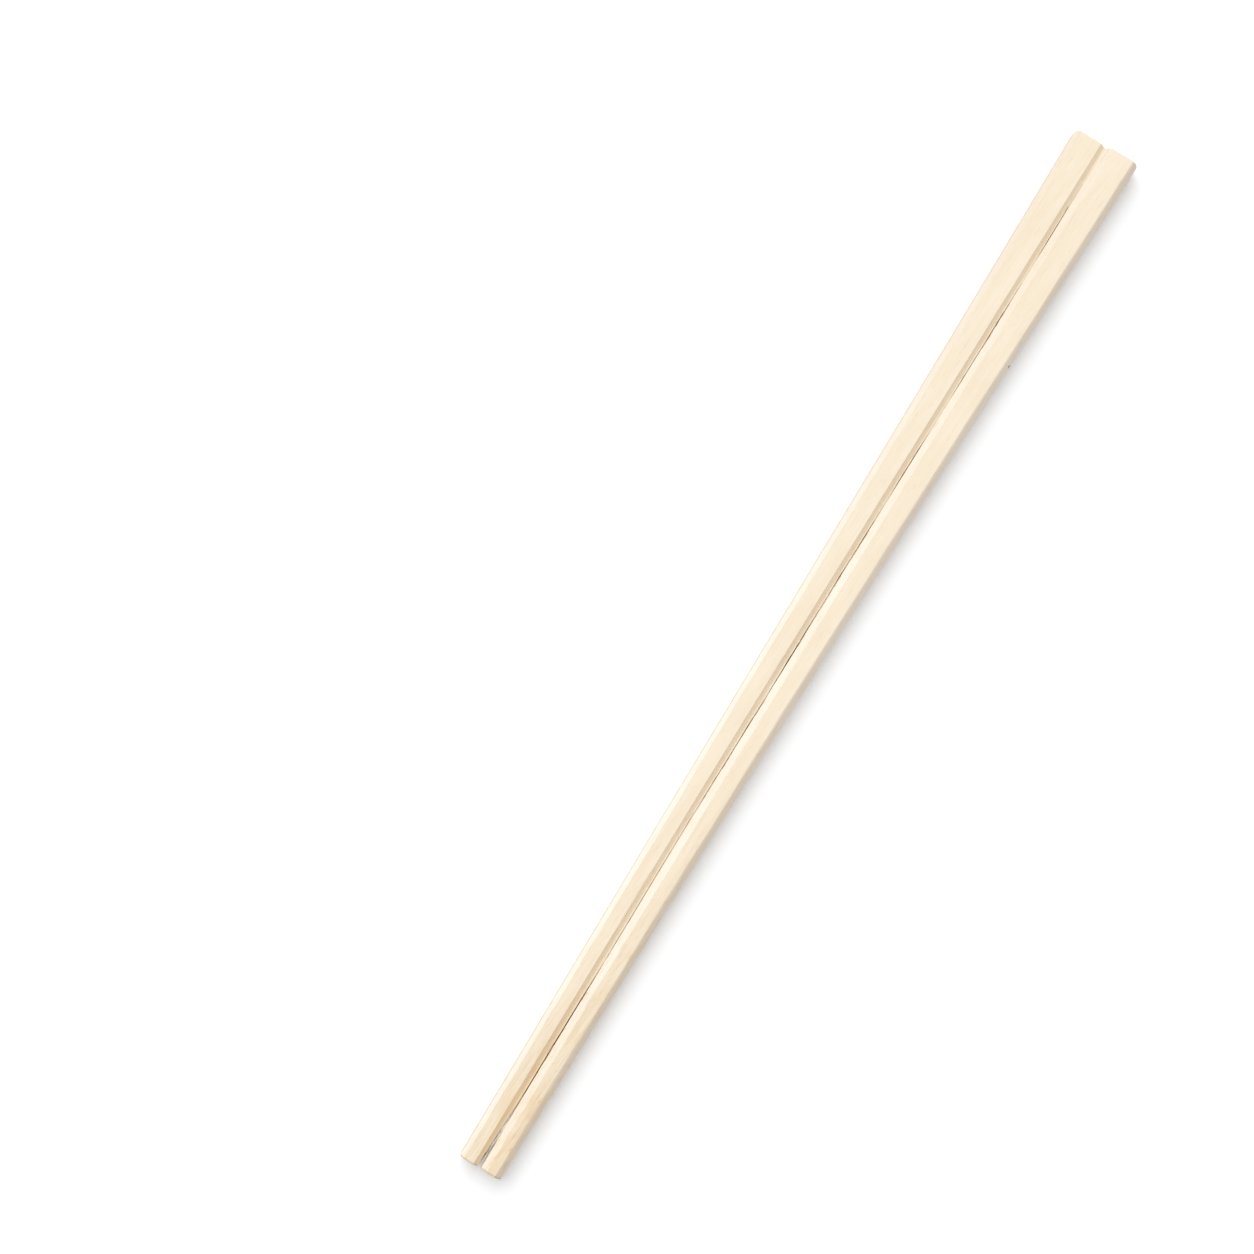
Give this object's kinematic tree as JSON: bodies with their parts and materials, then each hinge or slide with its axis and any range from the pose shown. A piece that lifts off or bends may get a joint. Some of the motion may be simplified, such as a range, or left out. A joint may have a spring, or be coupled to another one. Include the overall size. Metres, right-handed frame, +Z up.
{
  "type": "disposable wooden chopsticks",
  "caption": "Disposable aspen chopsticks still joined at the head, tapered, with bevelled corners, V-grooved faces and a saw slit that lets them be snapped apart.",
  "frame": {"origin": "middle of the underside's bounding rectangle, on the surface the chopsticks rest on", "axes": "+Y along the sticks from the tips to the joined head, +Z up through the thickness, +X across the pair"},
  "size_m": [0.0122, 0.203, 0.0045],
  "materials": {
    "aspen": "bare, planed and tumbled"
  },
  "bodies": {
    "root": {"joined_chopsticks": "aspen"}
  },
  "joints": []
}
